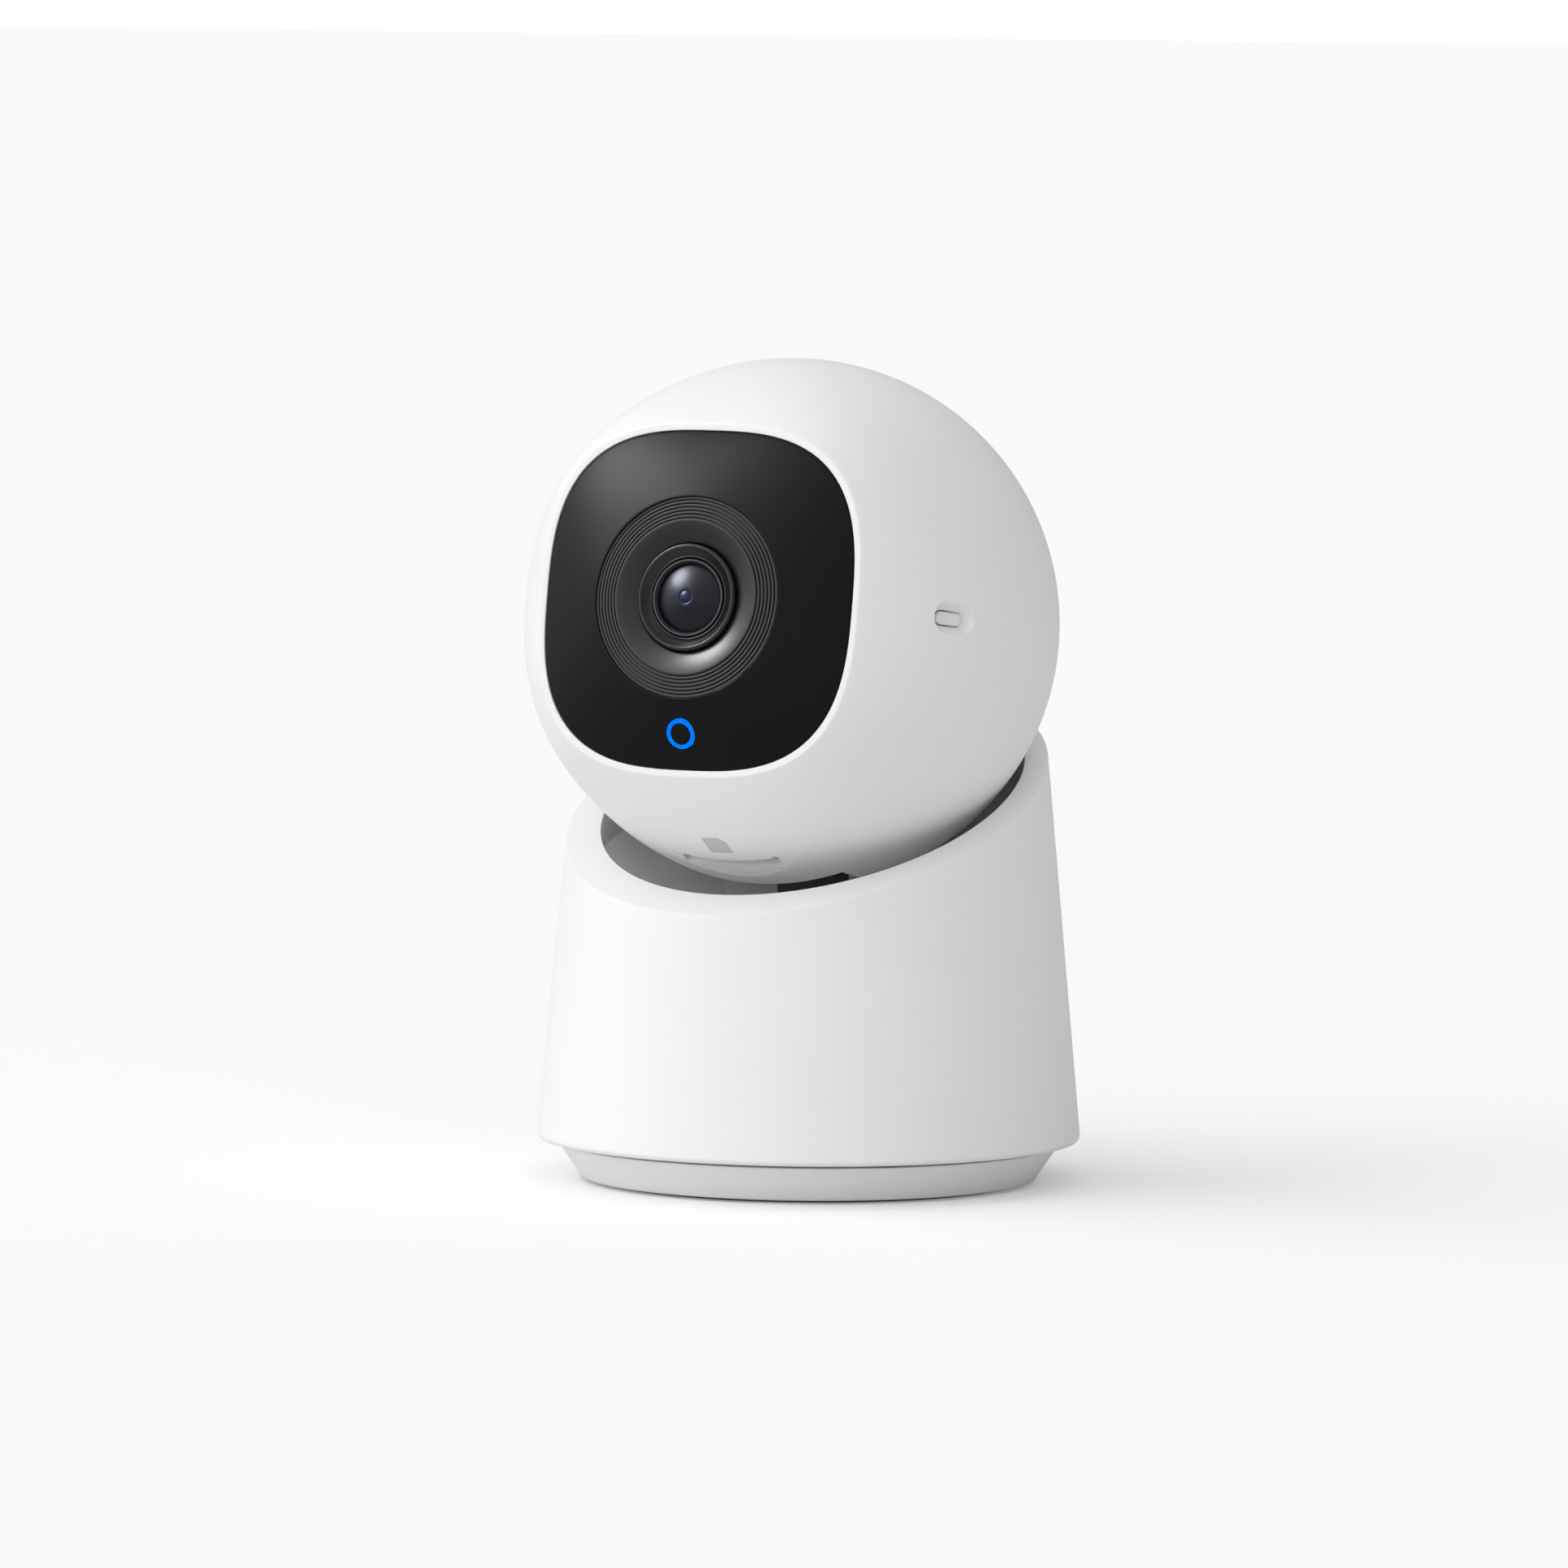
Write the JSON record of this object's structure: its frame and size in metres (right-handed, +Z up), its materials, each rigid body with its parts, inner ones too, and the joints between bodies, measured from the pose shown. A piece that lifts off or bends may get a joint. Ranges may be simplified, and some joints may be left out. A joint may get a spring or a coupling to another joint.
{
  "type": "security camera",
  "caption": "Indoor pan and tilt camera: a ball head with a rounded square black window and stepped lens cone sits in a slanted open cup on a tapered round body.",
  "frame": {"origin": "on the pan axis, level with the underside of the rubber pad it stands on", "axes": "+Z up along the pan axis, -Y the way the camera faces, +X the camera picture's left and the side with the button"},
  "size_m": [0.0752, 0.0782, 0.1137],
  "materials": {
    "white_shell": "fine matte texture",
    "cradle_white": "matte",
    "yoke_grey": "satin",
    "black_plastic": "satin",
    "window_black": "polished",
    "cone_black": "satin",
    "lens_glass": "coated",
    "clear_light": "translucent blue",
    "rubber_grey": "matte",
    "ballast_steel": "zinc plated",
    "screw_steel": "zinc plated",
    "motor_steel": "plated",
    "insert_brass": "machined",
    "gear_white": "natural acetal",
    "board_green": "solder mask",
    "chip_black": "moulded",
    "socket_steel": "stamped",
    "speaker_black": "moulded",
    "cone_paper": "pressed paper",
    "foam_black": "foam",
    "sink_alu": "extruded",
    "filter_glass": "coated",
    "led_clear": "clear",
    "antenna_gold": "plated",
    "button_white": "matte"
  },
  "bodies": {
    "foot": {"foot_shell": "white_shell", "ballast_plate": "ballast_steel", "rubber_pad": "rubber_grey", "thread_insert": "insert_brass", "foot_screws": "screw_steel", "thrust_washer": "gear_white", "pan_gear": "gear_white", "post_screw": "screw_steel"},
    "turret": {"body_shell": "white_shell", "body_floor": "white_shell", "cradle_bowl": "cradle_white", "yoke": "yoke_grey", "cable_cover": "black_plastic", "tilt_gear": "gear_white", "tilt_bushes": "gear_white", "yoke_screws": "screw_steel", "floor_screws": "screw_steel", "pan_motor": "motor_steel", "pan_motor_screws": "screw_steel", "power_board": "board_green", "usb_socket": "socket_steel", "usb_bezel": "black_plastic", "speaker_frame": "speaker_black", "speaker_cone": "cone_paper", "speaker_gasket": "foam_black"},
    "pan_drive": {"pan_shaft": "screw_steel", "pan_pinion": "gear_white"},
    "head": {"front_shell": "white_shell", "rear_shell": "white_shell", "front_window": "window_black", "lens_surround": "cone_black", "lens_barrel": "cone_black", "lens_ring": "black_plastic", "front_lens": "lens_glass", "inner_lenses": "lens_glass", "lens_holder": "black_plastic", "image_sensor": "chip_black", "camera_board": "board_green", "board_screws": "screw_steel", "head_frame": "black_plastic", "frame_screws": "screw_steel", "infrared_board": "board_green", "infrared_leds": "led_clear", "status_light": "clear_light", "status_baffle": "black_plastic", "main_board": "board_green", "board_chips": "chip_black", "heat_sink": "sink_alu", "antenna": "antenna_gold", "microphone": "socket_steel", "card_socket": "socket_steel", "button_switch": "chip_black", "tilt_motor": "motor_steel", "tilt_pins": "screw_steel"},
    "tilt_drive": {"tilt_shaft": "screw_steel", "tilt_pinion": "gear_white"},
    "button": {"side_button": "button_white"},
    "card": {"memory_card": "chip_black"},
    "night_filter": {"filter_carrier": "black_plastic", "filter_glass": "filter_glass"}
  },
  "joints": [
    {"name": "pan", "type": "hinge", "parent": "foot", "child": "turret", "pos_m": [0, 0, 0], "axis": [0, 0, 1], "range_deg": [-175, 175]},
    {"name": "pan_drive_spin", "type": "hinge", "parent": "turret", "child": "pan_drive", "pos_m": [0, -0.016, 0.02], "axis": [0, 0, 1], "range_deg": [-525, 525]},
    {"name": "tilt", "type": "hinge", "parent": "turret", "child": "head", "pos_m": [0, -0.00575, 0.07715], "axis": [-1, 0, 0], "range_deg": [-18, 53]},
    {"name": "tilt_drive_spin", "type": "hinge", "parent": "head", "child": "tilt_drive", "pos_m": [0, -0.00575, 0.09415], "axis": [-1, 0, 0], "range_deg": [-50, 147.3]},
    {"name": "button_press", "type": "slide", "parent": "head", "child": "button", "axis": [0.8854, -0.4589, 0.0743], "range_m": [-0.0006, 0], "stiffness_N_per_m": 2500},
    {"name": "card_slide", "type": "slide", "parent": "head", "child": "card", "axis": [0, -0.1599, -0.9871], "range_m": [0, 0.0045]},
    {"name": "filter_slide", "type": "slide", "parent": "head", "child": "night_filter", "axis": [1, 0, 0], "range_m": [0, 0.0055]}
  ],
  "couplings": [
    {"joint": "pan_drive_spin", "follows": "pan", "ratio": 3},
    {"joint": "tilt_drive_spin", "follows": "tilt", "ratio": 2.7778}
  ]
}
